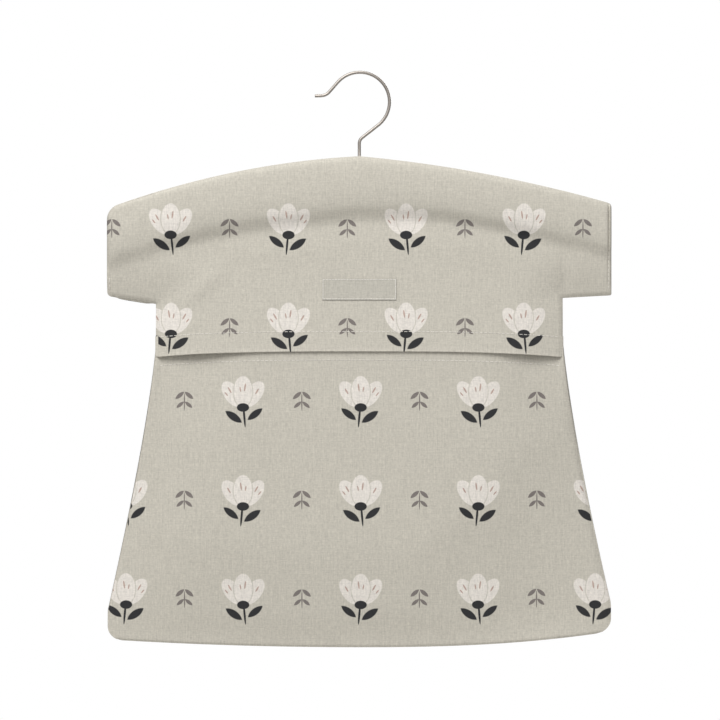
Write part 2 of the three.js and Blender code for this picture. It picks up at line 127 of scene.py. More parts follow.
neck_end, tip_start = on_loop(LOOP_START), on_loop(LOOP_END)
neck = Vector((0, neck_end.y + neck_end.x / tan(radians(LOOP_START))))
tip_bend = tip_start + Vector((-sin(radians(LOOP_END)), cos(radians(LOOP_END)))) * TIP_RUN
tip_end = tip_bend + TIP
head = [(HEAD_LOW, HEAD_SHARE), (HEAD_LOW + HEAD_EDGE, 1), (HEAD_TOP - HEAD_EDGE, 1),
        (HEAD_TOP, HEAD_SHARE), (HEAD_TOP, WIRE / HEAD)]
wire = [(Vector((0, z)), share * HEAD / WIRE) for z, share in head]
wire += [(p, 1) for p in bend(wire[-1][0], neck, neck_end, NECK_BEND)]
sweep = (LOOP_END - LOOP_START) / LOOP_STEPS
wire += [(on_loop(LOOP_START + sweep * i), 1) for i in range(LOOP_STEPS + 1)]
wire += [(p, 1) for p in bend(tip_start, tip_bend, tip_end, TIP_BEND)]
wire += [(tip_end, 1), (tip_end + TIP_END, TIP_SHARE)]
curve = strands("hook_wire", WIRE, WIRE_SIDES, [[(Vector((p.x, 0, p.y)), share) for p, share in wire]])
curve.use_fill_caps = True

# Zinc-plated steel: a dull warm grey metal, whose soft highlight is broken by drawing
# marks. The marks are drawn coarser than the real scratches, to show.
SCRATCH = (3.3, 1.1, 8.3)
steel, tree, shader = material("steel", "#b1aaa3", 0.5, Metallic=1.0)
place = add(tree, "TexCoord").outputs["Object"]
drawn = add(tree, "Mapping", {"Vector": place, "Scale": per_metre(*SCRATCH)}).outputs["Vector"]
scuff = add(tree, "TexNoise", {"Vector": drawn, "Scale": 1.0, "Detail": 3.0}).outputs["Fac"]
dull = add(tree, "MapRange", {"Value": scuff, "To Min": 0.48, "To Max": 0.53}).outputs["Result"]
tree.links.new(dull, shader.inputs["Roughness"])
curve.materials.append(steel)
hook = shown("hook_wire", curve)
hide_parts("hook")
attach(hook, "hook")

# Hanger: a flat beech board inside the shoulders, with grain along its length, and the
# washer under it that the hook's head bears on. Both keep their solid shape.

# Beech, planed and lacquered: a pale warm brown with long darker streaks, satin in the light.
GRAIN = (71, 2, 3.85)
beech, tree, shader = material("beech", "#c79f70", 0.5)
place = add(tree, "TexCoord").outputs["Object"]
along = add(tree, "Mapping", {"Vector": place, "Scale": per_metre(*GRAIN)}).outputs["Vector"]
streaks = add(tree, "TexNoise", {"Vector": along, "Scale": 1.0, "Detail": 5.0}).outputs["Fac"]
tone = add(tree, "ValToRGB", {"Fac": streaks})
for end, position, colour in zip(tone.color_ramp.elements, (0.3, 0.7), ("#b58957", "#d2ad80")):
    end.position = position
    end.color = linear(colour)
tree.links.new(tone.outputs["Color"], shader.inputs["Base Color"])
for name, finish, slot in (("hanger_bar", beech, "beech"), ("hook_washer", steel, "steel")):
    nodes[name].data.materials.clear()
    nodes[name].data.materials.append(finish)

# Back panel: one cut of cotton with both sleeves, which hangs flat and turns forward over
# the hanger's top edge to the shoulder seam. The left shoulder droops more than the right.
CLOTH = 0.7
CUFF, BODY = 189.0, 152.5
NECK = -62
RIGHT_SLOPE, RIGHT_CURVE = 0.09, 0.00052
LEFT_SLOPE, LEFT_CURVE = 0.05, 0.00083
RIGHT_CORNER, LEFT_CORNER = 2.5, 7.5
RIGHT_ARMPIT, LEFT_ARMPIT = -168, -172.5
RIGHT_RISE, LEFT_RISE = 2, 6
RIGHT_HEEL, LEFT_HEEL = 1.2, 3
FLARE_TOP, FLARE_DROP, FLARE_OUT, FLARE_POWER = -200, 206, 36, 1.25
LOW, LOW_HALF, LOW_CORNER = -430.2, 190, 11
RIGHT_LIFT, LEFT_LIFT = (12, 2.46), (5.9, 2)
BACK = 8.0
HOLE, HOLE_CUT, HOLE_NEAR, HOLE_DEEP = 5.0, (4, 1.5), 4.5, 3

# The seam all round, as depths: the back lies just behind it and the front just ahead of
# it. RIM_LINE gives the depth of the side seam by its drop below the armpit. LEFT_END and
# RIGHT_END give how far the cloth has turned to the seam, by its distance from the cuff's end.
SEAM, TOP_SEAM, BEHIND, AHEAD = 5.8, 0.6, 0.3, 0.2
LEFT_SEAM, RIGHT_SEAM, SEAM_FADE = -4.0, -1.0, 14
RIM, SLEEVE_RIM, RIM_REACH, EDGE_ROUND = 4.2, -1.8, 32, 4
RIM_LINE = ((0, SLEEVE_RIM), (15, -2.8), (38, -3), (60, -2.2), (110, 1), (150, 1.8), (200, 1.8),
            (400, 1.4))
END_ROUND = 6.0
LEFT_END = ((0, 1), (0.3, 0.76), (0.8, 0.56), (1.6, 0.4), (3, 0.27), (5, 0.18), (8, 0.1), (12, 0.04),
            (16, 0), (400, 0))
RIGHT_END = ((0, 1), (0.2, 0.62), (0.5, 0.38), (1, 0.2), (1.7, 0.1), (2.2, 0.2), (2.5, 0.24), (2.9, 0.1),
             (3.6, 0.02), (5, 0), (400, 0))

# The strip over the hanger, as depth and drop from the seam backward. On the right
# shoulder the seam has slipped forward by LAP and shows from the front. At the left cuff
# the back hangs lower than the front by PROUD.
STRIP = ((-6.5, 0.6), (-5.9, 0.1), (-4.4, -0.1), (-2.2, -0.2), (0, -0.2), (2.2, -0.2), (4, 0), (5.6, 0.8),
         (6.8, 2), (7.5, 3.5), (7.9, 5.2))
STRIP_REACH = 6.4
LAP, LAP_FROM, LAP_TO, LAP_FADE, LAP_ROWS = 1.8, 76, 152, 14, 3
SLEEVE_SWELL, LOW_SWELL = 38, 28
SLACK_TOP, SLACK_DROP = -128, 80
BAR_LINE, BAR_FADE, BAR_HOLLOW = 45, 12, 0.5
BACK_RIPPLE, BACK_WAVE, BACK_SEED, RELIEF_REACH = 0.25, 70, 3.1, 20
PROUD, PROUD_INNER, PROUD_OUTER = 0.9, (2, 6), (6, 5)
BACK_PRINT = (72, -40)
BACK_STEP, SLEEVE_STEP = 3.8, 2.5
CUFF_STEPS = (7, 5.5, 4.4, 3.6, 2.9, 2.5, 2.2, 1.7, 1.2, 0.8, 0.5, 0.2, 0)
WELD = 0.02


def smooth(t):
    t = min(max(t, 0), 1)
    return t * t * (3 - 2 * t)


def bell(offset, width):
    return exp(-((offset / width) ** 2))


def swell(gap, width):
    return sin(pi / 2 * min(max(gap / width, 0), 1))


def corner(gap, radius):
    return radius - sqrt(radius**2 - (radius - min(max(gap, 0), radius)) ** 2)


def spread(start, end, pitch):
    count = max(round(abs(end - start) / pitch), 1)
    return [start + (end - start) * i / count for i in range(count + 1)]


def through(table, at):
    for i in range(len(table) - 1):
        (a, p), (b, q) = table[i], table[i + 1]
        if at <= b:
            before = table[max(i - 1, 0)]
            after = table[min(i + 2, len(table) - 1)]
            m = (q - before[1]) / (b - before[0])
            n = (after[1] - p) / (after[0] - a)
            t, w = (at - a) / (b - a), b - a
            return (p * (1 + 2 * t) * (1 - t) ** 2 + m * w * t * (1 - t) ** 2
                    + q * t * t * (3 - 2 * t) + n * w * t * t * (t - 1))
    return table[-1][1]


def ripple(x, z, size, seed):
    return noise.noise((x / size, z / size, seed))


def shoulder(x):
    return NECK - (RIGHT_SLOPE * x + RIGHT_CURVE * x * x if x > 0 else LEFT_CURVE * x * x - LEFT_SLOPE * x)


def top_edge(x):
    return shoulder(x) - corner(CUFF - abs(x), RIGHT_CORNER if x > 0 else LEFT_CORNER)


def under_edge(x):
    out = (abs(x) - BODY) / (CUFF - BODY)
    if out < 0:
        return (RIGHT_ARMPIT + LEFT_ARMPIT) / 2 + (RIGHT_ARMPIT - LEFT_ARMPIT) / 2 * x / BODY
    if x > 0:
        return RIGHT_ARMPIT + RIGHT_RISE * out + corner(CUFF - x, RIGHT_HEEL)
    return LEFT_ARMPIT + LEFT_RISE * out + corner(CUFF + x, LEFT_HEEL)


def side_edge(z):
    return min(BODY + FLARE_OUT * (max(FLARE_TOP - z, 0) / FLARE_DROP) ** FLARE_POWER, CUFF)


def low_edge(x):
    lift, power = RIGHT_LIFT if x > 0 else LEFT_LIFT
    return LOW + lift * (abs(x) / LOW_HALF) ** power


def body_point(across, down, start):
    level = start(0) + (LOW - start(0)) * down
    half = side_edge(level) - corner((1 - down) * (start(0) - LOW), LOW_CORNER)
    x = across * half
    return x, start(x) + (low_edge(x) - start(x)) * down


def end_turn(x):
    return through(RIGHT_END if x > 0 else LEFT_END, max(CUFF - abs(x), 0))


def end_seam(x, z):
    if x > 0:
        return RIGHT_SEAM
    return RIGHT_SEAM + (LEFT_SEAM - RIGHT_SEAM) * smooth((z - under_edge(x)) / SEAM_FADE)


def seam_depth(x):
    front = STRIP[0][0]
    return front + (end_seam(x, top_edge(x)) - front) * end_turn(x)


def rim_depth(x, z):
    return through(RIM_LINE, max(under_edge(x) - z, 0))


def to_rim(x, z):
    across = abs(x)
    under = under_edge(x)
    if z >= under:
        return z - under if across > BODY else hypot(z - under, BODY - across)
    return min(side_edge(z) - across, z - low_edge(x))


def fullness(x, z, slack):
    width = SLEEVE_SWELL + slack * smooth((SLACK_TOP - z) / SLACK_DROP)
    if z >= under_edge(x):
        return swell(to_rim(x, z), width)
    return swell(side_edge(z) - abs(x), width) * swell(z - low_edge(x), LOW_SWELL)


def lap(x):
    return LAP * smooth((x - LAP_FROM) / LAP_FADE) * smooth((LAP_TO - x) / LAP_FADE)


def lay(mesh, columns, rows, place):
    wide, deep = len(columns) - 1, len(rows) - 1
    for v in bmesh.ops.create_grid(mesh, x_segments=wide, y_segments=deep, size=1)["verts"]:
        i, j = round((v.co.x + 1) / 2 * wide), round((1 - v.co.y) / 2 * deep)
        v.co = Vector(place(columns[i], rows[j])) / 1000


def sew(mesh):
    bmesh.ops.remove_doubles(mesh, verts=mesh.verts[:], dist=WELD / 1000)
    mesh.normal_update()
    rest = mesh.verts.layers.float_vector.new("rest")
    for v in mesh.verts:
        v[rest] = v.normal


def panel(mesh, name, face_material, reverse_material, keep=None, thick=CLOTH, over=0, shift=(0, 0)):
    cut = mesh.copy()
    if keep:
        away = [f for f in cut.faces if not keep(f.calc_center_median() * 1000)]
        bmesh.ops.delete(cut, geom=away, context="FACES")
    face_side = set(cut.verts)
    bmesh.ops.solidify(cut, geom=cut.faces[:], thickness=thick / 1000)
    cut.normal_update()
    pattern = cut.loops.layers.uv.new("cloth")
    rest = cut.verts.layers.float_vector["rest"]
    for f in cut.faces:
        f.smooth = True
        f.material_index = int(not any(v in face_side for v in f.verts))
        for corner_loop in f.loops:
            x, y, z = corner_loop.vert.co
            up = z + over * (BACK / 1000 - y)
            corner_loop[pattern].uv = x + shift[0] / 1000, up + shift[1] / 1000
    made = bpy.data.meshes.new(name)
    turned = [v[rest].copy() if v[rest].dot(v.normal) >= 0 else -v[rest] for v in cut.verts]
    cut.to_mesh(made)
    cut.free()
    made.normals_split_custom_set_from_vertices(turned)
    made.materials.append(face_material)
    made.materials.append(reverse_material)
    return shown(name, made)


# Thick places in the yarns, size across by size down, and their share in the cloth's mottle.
# Real yarns are 0.5 mm apart: these are coarser, to show at the camera's 0.75 mm a pixel.
SLUBS = ((2.4, 0.83, 0.3), (0.83, 3.8, 0.32), (17, 1.1, 0.16), (1.1, 20, 0.22))

# A leaf is where two circles overlap, as shares of its radii, and ink has a soft edge.
LEAF_SHIFT, LEAF_RADIUS, INK_EDGE = 0.75, 1.25, 0.04


def tint(tree, shader, colour, tone):
    shade = add(tree, "VectorMath", {0: colour, "Scale": tone}, operation="SCALE").outputs["Vector"]
    tree.links.new(shade, shader.inputs["Base Color"])


def weave(tree, place, shader):
    whole = 0.0
    for wide, deep, part in SLUBS:
        run = {"Vector": place, "Scale": (*per_metre(wide, deep), 1)}
        run = add(tree, "Mapping", run).outputs["Vector"]
        yarn = add(tree, "TexNoise", {"Vector": run, "Scale": 1.0, "Detail": 1.0}).outputs["Fac"]
        whole = add(tree, "Math", {0: yarn, 1: part, 2: whole}, operation="MULTIPLY_ADD").outputs[0]
    bump = add(tree, "Bump", {"Height": whole, "Strength": 0.2, "Distance": 0.0004})
    tree.links.new(bump.outputs["Normal"], shader.inputs["Normal"])
    tone = {"Value": whole, "From Min": 0.3, "From Max": 0.7, "To Min": 0.8, "To Max": 1.2}
    return add(tree, "MapRange", tone).outputs["Result"]


def woven(name, colour, roughness):
    made, tree, shader = material(name, colour, roughness)
    place = add(tree, "UVMap", uv_map="cloth").outputs["UV"]
    tint(tree, shader, linear(colour)[:3], weave(tree, place, shader))
    return made


def blob(tree, point, centre, radii, turn=0, leaf=False):
    own = {"Vector": point, "Location": (*centre, 0), "Scale": (*radii, 1)}
    own["Rotation"] = (0, 0, radians(turn))
    own = add(tree, "Mapping", own, vector_type="TEXTURE").outputs["Vector"]
    edge = 1
    if leaf:
        own = add(tree, "VectorMath", {0: own}, operation="ABSOLUTE").outputs["Vector"]
        own = add(tree, "VectorMath", {0: own, 1: (0, LEAF_SHIFT, 0)}, operation="ADD").outputs["Vector"]
        edge = LEAF_RADIUS
    reach = add(tree, "VectorMath", {0: own}, operation="LENGTH").outputs["Value"]
    inside = {"Value": reach, "From Min": edge + INK_EDGE, "From Max": edge - INK_EDGE}
    return add(tree, "MapRange", inside).outputs["Result"]


def paint(tree, under, point, shapes, colour):
    mask = 0.0
    for shape in shapes:
        mask = add(tree, "Math", {0: mask, 1: blob(tree, point, *shape)}, operation="MAXIMUM").outputs[0]
    return add(tree, "Mix", {0: mask, 6: under, 7: linear(colour)}, data_type="RGBA").outputs[2]


# Printed cotton: a matt greige that looks linen-like because its yarns are uneven, with
# flat-coloured flowers and sprigs 39 and 14 mm tall in cells of 88 x 74 mm. Each shape has
# its centre, its radii, its turn in degrees and whether it is a pointed leaf.
GREIGE, PETAL, VEIN, DARK, SPRIG = "#c5c0b4", "#e2dcd4", "#b9a196", "#2c2c2e", "#7c7571"
REPEAT, PRINT_START = (88, 74), (14, 22)
SIDE_PETALS = (((-8, 4), (6, 11), 36), ((8, 4), (6, 11), -36))
FRONT_OUTLINE = (((0, 6), (7.6, 12.1)),)
FRONT_PETAL = (((0, 6), (7, 11.5)),)
VEINS = (((-10, 7), (0.6, 2.6), 30), ((-12.5, 4), (0.5, 1.8), 40), ((10.5, 6), (0.6, 2.4), -30),
         ((1.5, 9), (0.6, 3), -8), ((-2, 7.5), (0.5, 2), 10))
STALK = (((0, -6), (4.6, 3.2)), ((1, -13), (0.8, 8), 5),
         ((-7, -13), (7.5, 5.5), -35, True), ((9, -11), (7, 5), 38, True))
TWIG = (((REPEAT[0] / 2 - 3.5, 3), (4.2, 3), 40, True), ((REPEAT[0] / 2, -2), (0.45, 6.5)),
        ((REPEAT[0] / 2 - 3.2, -4), (3.6, 2.6), 40, True))
print_cloth, tree, shader = material("print_cloth", GREIGE, 0.95)
place = add(tree, "UVMap", uv_map="cloth").outputs["UV"]
tone = weave(tree, place, shader)
flat = add(tree, "VectorMath", {0: place, "Scale": 1000.0}, operation="SCALE").outputs["Vector"]
flat = add(tree, "VectorMath", {0: flat, 1: (*PRINT_START, 0)}, operation="ADD").outputs["Vector"]

# Each cell has a flower in its middle and a sprig at its sides. Every other cell is mirrored.
cell = add(tree, "VectorMath", {0: flat, 1: (*REPEAT, 1)}, operation="DIVIDE").outputs["Vector"]
cell = add(tree, "VectorMath", {0: cell}, operation="FLOOR").outputs["Vector"]
parity = add(tree, "VectorMath", {0: cell, 1: (0.5, 0.5, 0)}, operation="DOT_PRODUCT").outputs["Value"]
parity = add(tree, "Math", {0: parity}, operation="FRACT").outputs[0]
turn = {"Value": parity, "From Max": 0.5, "To Min": 1.0, "To Max": -1.0}
turn = add(tree, "MapRange", turn).outputs["Result"]
wrap = {0: flat, 1: (*REPEAT, 1), 2: (0, 0, 0)}
local = add(tree, "VectorMath", wrap, operation="WRAP").outputs["Vector"]
centre = (REPEAT[0] / 2, REPEAT[1] / 2, 0)
local = add(tree, "VectorMath", {0: local, 1: centre}, operation="SUBTRACT").outputs["Vector"]
split = add(tree, "SeparateXYZ", {0: local})
flip = add(tree, "Math", {0: split.outputs["X"], 1: turn}, operation="MULTIPLY").outputs[0]
middle = add(tree, "CombineXYZ", {"X": flip, "Y": split.outputs["Y"]}).outputs["Vector"]
apart = add(tree, "Math", {0: flip}, operation="ABSOLUTE").outputs[0]
side = add(tree, "CombineXYZ", {"X": apart, "Y": split.outputs["Y"]}).outputs["Vector"]
colour = linear(GREIGE)
for point, shapes, ink in ((middle, SIDE_PETALS, PETAL), (middle, FRONT_OUTLINE, GREIGE),
                           (middle, FRONT_PETAL, PETAL), (middle, VEINS, VEIN), (middle, STALK, DARK),
                           (side, TWIG, SPRIG)):
    colour = paint(tree, colour, point, shapes, ink)
tint(tree, shader, colour, tone)

# Reverse of the cloth: the same weave without print, so it looks paler and plain.
reverse_cloth = woven("reverse_cloth", "#cdc8bc", 0.95)


def back_point(x, z):
    edge = to_rim(x, z)
    relief = BAR_HOLLOW * bell(top_edge(x) - z - BAR_LINE, BAR_FADE)
    relief += BACK_RIPPLE * ripple(x, z, BACK_WAVE, BACK_SEED)
    y = BACK - relief * swell(min(edge, CUFF - abs(x)), RELIEF_REACH)
    y -= (BACK - SEAM - BEHIND) * corner(edge, EDGE_ROUND) / EDGE_ROUND
    y -= (RIM - rim_depth(x, z)) * (1 - swell(edge, RIM_REACH))
    if z >= under_edge(x):
        y += (end_seam(x, z) + BEHIND - y) * corner(CUFF - abs(x), END_ROUND) / END_ROUND
    return x, y, z


def back_upper(x, t):
    top, turn = top_edge(x), end_turn(x)
    if t < 0:
        y, drop = STRIP[round(t)]
        over = lap(x) * max(1 - (len(STRIP) + round(t)) / LAP_ROWS, 0)
        y += (end_seam(x, top) + BEHIND - y) * turn - over
        return x, y, top - TOP_SEAM + (TOP_SEAM - drop) * (1 - turn) - over
    start = top - TOP_SEAM - STRIP_REACH * (1 - turn)
    inner, outer = -BODY - x - PROUD_INNER[0], CUFF + x - PROUD_OUTER[0]
    proud = PROUD * smooth(inner / PROUD_INNER[1]) * smooth(outer / PROUD_OUTER[1])
    x, y, z = back_point(x, start + (under_edge(x) - start) * t)
    lowest_quarter = 4 * t - 3
    return x, y, z - proud * smooth(lowest_quarter)


sleeve = spread(BODY, CUFF - CUFF_STEPS[0], SLEEVE_STEP) + [CUFF - gap for gap in CUFF_STEPS[1:]]
left_sleeve = [-x for x in reversed(sleeve[1:])]
back_columns = spread(-BODY, BODY, BACK_STEP)
all_back = left_sleeve + back_columns + sleeve[1:]
strip_rows = list(range(-len(STRIP), 0))
body_rows = spread(0, 0.96, 0.016) + spread(0.965, 1, 0.005)
back = bmesh.new()
lay(back, all_back[::-1], strip_rows + spread(0, 1, 0.04), back_upper)
lay(back, [x / BODY for x in back_columns[::-1]], body_rows,
    lambda across, down: back_point(*body_point(across, down, under_edge)))
faces = [(f, f.calc_center_median() * 1000) for f in back.faces]
faces = [f for f, place in faces if abs(place.x) < HOLE_CUT[0] and abs(place.y) < HOLE_CUT[1]]
bmesh.ops.delete(back, geom=faces, context="FACES")
for v in [v for v in back.verts if v.is_boundary]:
    if hypot(v.co.x, v.co.y) < HOLE_NEAR / 1000 and abs(v.co.y) < HOLE_DEEP / 1000:
        v.co.xy = v.co.xy.normalized() * HOLE / 2000
sew(back)
back_cloth = panel(back, "back_cloth", print_cloth, reverse_cloth, over=1, shift=BACK_PRINT)
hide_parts("back_panel")
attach(back_cloth, "bag")

# Yoke: the upper front with both sleeves, cut from the same cotton and sewn to the back. The
# hanger lifts it into a rounded band along the shoulders with a soft valley under it, and its
# lower edge is turned up into a hem.

# BAND gives the yoke's depth by the drop below the shoulder. The band is wider on the left,
# and flatter at the cuffs.
BAND = ((0, -5.5), (0.6, -6.5), (1.4, -8), (3, -9.6), (8, -10.7), (14, -11.2), (18, -11.3), (22, -11.2),
        (26, -10.8), (29, -10.3), (31.5, -9.6), (34, -8.4), (36.5, -7), (39, -5.9), (41, -5.4), (43, -5.3),
        (48, -5.5), (56, -5.8), (400, -5.8))
BAND_WIDE, BAND_START = 1.18, 20
RIGHT_NARROWER, RIGHT_REACH = 0.14, 70
LEFT_WIDER, LEFT_WIDEST, LEFT_REACH = 0.05, -40, 40
VALLEY_DROP = 44
FLAT_END, RIGHT_FLATTER, LEFT_FLATTER = -8.3, 0.2, 0.25
END_FROM, END_FADE, END_START = 110, 50, 3
LAP_NICK, LAP_NICK_WIDE = 0.9, 0.9
FOLD, AXIS_Y, FOLD_FADE = -128.1, -6.3, 15
HEM_Y, HEM_FALL = -8.8, 1.6
MOUTH, MOUTH_DROOP, MOUTH_HALF = -208.2, 4.3, 153
MOUTH_RISE, MOUTH_RISE_WIDE, LEFT_GAPE = 0.2, 20, -122
HELD, FREE = 153, 32
YOKE_SLACK = 8.0
YOKE_RIPPLE, YOKE_WAVE, YOKE_SEED = 0.35, 55, 7.7
STILL_FOLD, STILL_HEM, STILL_TOP, TOP_FADE = 9, 25, 1, 10
HEM_DEPTH, TURN = 15.0, 0.4
HEM_LIP, HEM_LIP_REACH, HEM_LIP_FADE = 0.3, 1.6, 5
ROLL, ROLL_RADIUS = 1.4, 2.2
YOKE_PRINT = (-5, -18)
FRONT_STEP = 2.0

# Folds in the yoke: ends, width and depth. One comes up from the left armpit, one runs along
# the left shoulder and one stands above the right armpit. They fade over a share of their length.
YOKE_FOLDS = (((-143, -180), (-97, -142), 7, -1.0), ((-186, -111), (-148, -87), 6, 0.5),
              ((154, -124), (154, -174), 5, 0.9))
FOLD_ENDS = 0.3


def mouth_edge(x):
    droop = MOUTH_DROOP * (abs(x) / MOUTH_HALF) ** 3
    return MOUTH - droop + MOUTH_RISE * bell(x - LEFT_GAPE, MOUTH_RISE_WIDE)


def yoke_level(x, z):
    wide = BAND_WIDE - RIGHT_NARROWER * smooth(x / RIGHT_REACH)
    wide += LEFT_WIDER * bell(x - LEFT_WIDEST, LEFT_REACH)
    below = max(top_edge(x) - z, 0)
    drop = below + (shoulder(x) - top_edge(x)) * smooth(below / BAND_START)
    valley = shoulder(x) - VALLEY_DROP * wide
    fall = min(max((valley - z) / (valley - mouth_edge(0)), 0), 1)
    band = through(BAND, drop / (1 + (wide - 1) * smooth(drop / BAND_START)))
    ends = (RIGHT_FLATTER if x > 0 else LEFT_FLATTER) * smooth((abs(x) - END_FROM) / END_FADE)
    band -= (band - FLAT_END) * ends * smooth(drop / END_START)
    band += LAP_NICK * lap(x) / LAP * bell(below - TOP_SEAM - lap(x), LAP_NICK_WIDE)
    return band + (HEM_Y - band) * fall**HEM_FALL


def crease(x, z, start, end, width):
    way = Vector(end) - Vector(start)
    from_start = Vector((x, z)) - Vector(start)
    along = from_start.dot(way) / way.length_squared
    ends = smooth(along / FOLD_ENDS) * smooth((1 - along) / FOLD_ENDS)
    return bell(way.cross(from_start) / way.length, width) * ends


def follow(x):
    return smooth((HELD - abs(x)) / (HELD - FREE))


def yoke_depth(x, z):
    full = fullness(x, z, YOKE_SLACK)
    rim = rim_depth(x, z)
    y = rim + (yoke_level(x, z) - rim) * full
    y += sum(height * crease(x, z, start, end, width) for start, end, width, height in YOKE_FOLDS)
    at_fold = SLEEVE_RIM + (yoke_level(x, FOLD) - SLEEVE_RIM) * fullness(x, FOLD, YOKE_SLACK)
    y += (AXIS_Y - at_fold) * follow(x) * bell(z - FOLD, FOLD_FADE)
    to_hem, from_top = z - mouth_edge(x), top_edge(x) - z
    free = full * (1 - bell(z - FOLD, STILL_FOLD)) * smooth(to_hem / STILL_HEM)
    free *= smooth((from_top - STILL_TOP) / TOP_FADE)
    y += YOKE_RIPPLE * ripple(x, z, YOKE_WAVE, YOKE_SEED) * free
    y -= HEM_LIP * bell(to_hem, HEM_LIP_REACH) * smooth((BODY - abs(x)) / HEM_LIP_FADE)
    under = z - under_edge(x) if abs(x) > BODY else BODY - abs(x) + max(z - under_edge(x), 0)
    y += ROLL * corner(under, ROLL_RADIUS) / ROLL_RADIUS
    return y + (end_seam(x, z) - AHEAD - y) * end_turn(x)


def yoke_upper(x, t):
    top = top_edge(x) - TOP_SEAM - lap(x)
    z = top + (FOLD - top) * t
    return x, yoke_depth(x, z), z


def yoke_middle(x, t):
    z = FOLD + (under_edge(x) - FOLD) * t
    return x, yoke_depth(x, z), z


def hem_turn(run):
    turn = min(run / (pi * TURN), 1) * pi
    return TURN * sin(turn), TURN * (1 - cos(turn)), max(run - pi * TURN, 0)


def yoke_lower(x, t):
    edge = mouth_edge(x) + TURN
    if t <= 1:
        z = under_edge(x) + (edge - under_edge(x)) * t
        return x, yoke_depth(x, z), z
    bulge, inward, up = hem_turn((t - 1) * HEM_DEPTH)
    return x, yoke_depth(x, edge + up) + inward, edge - bulge + up


body_columns = spread(-BODY, BODY, FRONT_STEP)
all_columns = left_sleeve + body_columns + sleeve[1:]
upper_rows = [0, 0.008, 0.016, 0.026, 0.038, 0.05] + spread(0.07, 1, 0.027)
lower_rows = spread(0, 0.95, 0.05) + [0.97, 0.983, 0.992, 0.997, 1]
hem_rows = [1 + i * 0.014 for i in range(1, 8)] + spread(1.2, 2.1, 0.1)
yoke = bmesh.new()
lay(yoke, all_columns, upper_rows, yoke_upper)
lay(yoke, all_columns, spread(0, 1, 0.05), yoke_middle)
lay(yoke, body_columns, lower_rows + hem_rows, yoke_lower)
sew(yoke)
yoke_cloth = panel(yoke, "yoke_cloth", print_cloth, reverse_cloth,
                   lambda c: c.z > FOLD or abs(c.x) > BODY, shift=YOKE_PRINT)
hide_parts("front_yoke")
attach(yoke_cloth, "bag")
for name, way in (("yoke_flap_left", -1), ("yoke_flap_right", 1)):
    half = panel(yoke, name, print_cloth, reverse_cloth,
                 lambda c: c.z < FOLD and abs(c.x) < BODY and c.x * way > 0, shift=YOKE_PRINT)
    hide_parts("yoke_flap", "yoke_hem")
    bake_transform(half)

# Pocket: the lower front, a slack pouch of the same cotton, sewn in at the sides and below,
# with its top edge turned in and hidden behind the yoke's hem. Its face falls back below a
# crest that climbs to the right, and gapes a little behind both ends of the mouth.
LIP = -200.5
LAYER, LAYER_FADE = 1.45, 4
BELLY_Y = -8.0
POCKET_SLACK = 34.0
POCKET_RIPPLE, POCKET_WAVE, POCKET_SEED, RIPPLE_FADE = 0.45, 65, 1.9, 30
BEHIND_HEM, BELLY_DROP = -206, 70
CREST, CREST_ROUND, CREST_SLOPE = -358, 9, 0.12
RIGHT_CLIMB, RIGHT_FROM, RIGHT_OVER = 90, 32, 115
LEFT_CLIMB, LEFT_FROM, LEFT_OVER = 14, 60, 110
EASIER, EASIER_FROM, EASIER_OVER = 0.035, 40, 60
LEFT_GAPE_DEEP, LEFT_GAPE_WIDE = 2.0, 32
RIGHT_GAPE, RIGHT_GAPE_DEEP, RIGHT_GAPE_WIDE = 130, 1.8, 17
GAPE_TOP, GAPE_DROP = -209, 75
POCKET_PRINT = (29, 37)


def crest(x):
    right = RIGHT_CLIMB * smooth((x - RIGHT_FROM) / RIGHT_OVER)
    return CREST + right + LEFT_CLIMB * smooth((-x - LEFT_FROM) / LEFT_OVER)


def lip_edge(x):
    return LIP - MOUTH_DROOP * (abs(x) / MOUTH_HALF) ** 3


def pocket_depth(x, z):
    full, rim = fullness(x, z, POCKET_SLACK), rim_depth(x, z)
    low = smooth((BEHIND_HEM - z) / BELLY_DROP)
    past = crest(x) - z
    slope = CREST_SLOPE - EASIER * smooth((x - EASIER_FROM) / EASIER_OVER)
    falls = slope * (past + hypot(past, CREST_ROUND)) / 2
    y = rim + (HEM_Y + (BELLY_Y - HEM_Y) * low + falls - rim) * full
    y += LAYER * (1 - low) * smooth((BODY - abs(x)) / LAYER_FADE)
    free = full * smooth((BEHIND_HEM - z) / RIPPLE_FADE)
    y += POCKET_RIPPLE * ripple(x, z, POCKET_WAVE, POCKET_SEED) * free
    gape = LEFT_GAPE_DEEP * bell(x - LEFT_GAPE, LEFT_GAPE_WIDE)
    gape += RIGHT_GAPE_DEEP * bell(x - RIGHT_GAPE, RIGHT_GAPE_WIDE)
    y += gape * (1 - smooth((GAPE_TOP - z) / GAPE_DROP))
    return y + ROLL * corner(min(side_edge(z) - abs(x), z - low_edge(x)), ROLL_RADIUS) / ROLL_RADIUS


def pocket_point(across, t):
    if t >= 0:
        x, z = body_point(across, t, lip_edge)
        return x, pocket_depth(x, z), z
    x = across * BODY
    bulge, inward, down = hem_turn(-t * HEM_DEPTH)
    return x, pocket_depth(x, lip_edge(x) - down) + inward, lip_edge(x) + bulge - down


lip_rows = [1 - t for t in reversed(hem_rows)]
pouch_rows = spread(0, 0.95, 0.0088) + spread(0.955, 1, 0.0045)
pocket = bmesh.new()
lay(pocket, [x / BODY for x in body_columns], lip_rows + pouch_rows, pocket_point)
sew(pocket)
pocket_cloth = panel(pocket, "pocket_cloth", print_cloth, reverse_cloth, shift=POCKET_PRINT)
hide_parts("pocket_panel", "pocket_hem")
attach(pocket_cloth, "bag")

